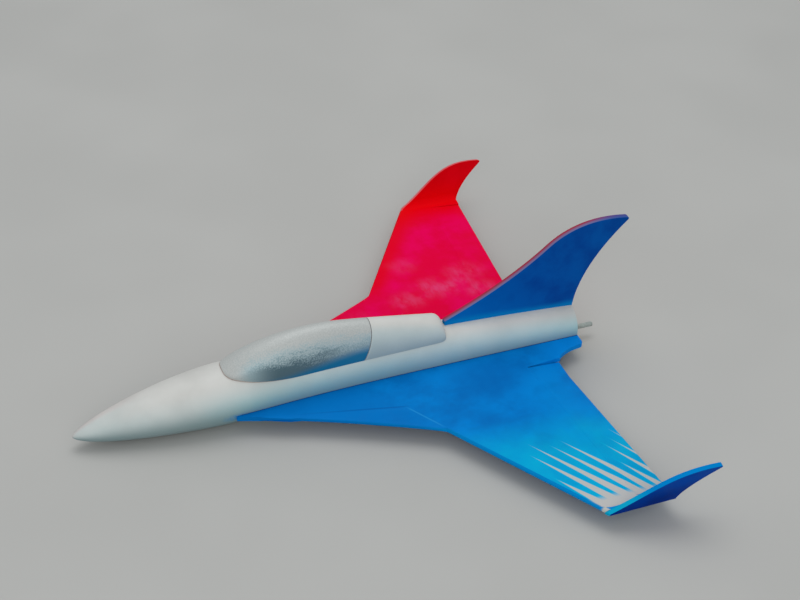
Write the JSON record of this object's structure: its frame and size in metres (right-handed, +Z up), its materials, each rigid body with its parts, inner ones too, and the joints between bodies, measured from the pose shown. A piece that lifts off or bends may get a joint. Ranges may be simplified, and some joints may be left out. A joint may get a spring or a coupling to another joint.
{
  "type": "hand-launched jet glider",
  "caption": "Jet-shaped balsa hand glider with sheet wing, hinged elevons, upturned winglets, swept fin and a lift-off canopy hatch over a ballast bay.",
  "frame": {"origin": "on the flat of the belly at half the length of the body, on the centre line", "axes": "+X towards the nose, +Y towards the left wing, +Z up"},
  "size_m": [0.6622, 0.6436, 0.1697],
  "materials": {
    "white_paint": "satin white paint over sanded balsa",
    "blue_paint": "airbrushed blue over balsa sheet",
    "red_paint": "airbrushed red over balsa sheet",
    "fin_paint": "airbrushed dark blue with a red leading edge",
    "silver_paint": "silver lacquer with a fine grain",
    "bare_balsa": "bare balsa and thin plywood",
    "dowel": "bare dowel, grey with handling",
    "steel": "drawn wire and turned bar",
    "magnet": "nickel-plated discs"
  },
  "bodies": {
    "airframe": {"nose_block": "white_paint", "nose_ballast": "steel", "upper_shell": "white_paint", "lower_shell": "white_paint", "former_front": "bare_balsa", "former_bay_front": "bare_balsa", "former_bay_rear": "bare_balsa", "former_tail": "bare_balsa", "tail_plug": "bare_balsa", "belly_former_front": "bare_balsa", "belly_former_mid": "bare_balsa", "belly_former_rear": "bare_balsa", "belly_tail_plug": "bare_balsa", "keel_rod": "dowel", "left_wing": "blue_paint", "right_wing": "red_paint", "front_spar": "bare_balsa", "rear_spar": "bare_balsa", "left_strake": "blue_paint", "right_strake": "red_paint", "left_winglet": "blue_paint", "right_winglet": "red_paint", "fin": "fin_paint", "left_hinge_tabs": "steel", "right_hinge_tabs": "steel", "bay_ledges": "bare_balsa", "bay_magnets": "magnet"},
    "left_elevon": {"left_elevon": "blue_paint", "left_hinge_wire": "steel"},
    "right_elevon": {"right_elevon": "red_paint", "right_hinge_wire": "steel"},
    "hatch": {"canopy": "silver_paint", "turtle_deck": "white_paint", "hatch_former_front": "bare_balsa", "hatch_former_mid": "bare_balsa", "hatch_former_rear": "bare_balsa", "hatch_plate": "bare_balsa", "hatch_magnets": "magnet"}
  },
  "joints": [
    {"name": "left_elevon_hinge", "type": "hinge", "parent": "airframe", "child": "left_elevon", "pos_m": [-0.21937, 0.061, 0.0215], "axis": [-0.0819, 0.9966, 0], "range_deg": [-15, 25]},
    {"name": "right_elevon_hinge", "type": "hinge", "parent": "airframe", "child": "right_elevon", "pos_m": [-0.21937, -0.061, 0.0215], "axis": [0.0819, 0.9966, 0], "range_deg": [-20, 20]},
    {"name": "hatch_lift", "type": "slide", "parent": "airframe", "child": "hatch", "axis": [0, 0, 1], "range_m": [0, 0.1]}
  ]
}
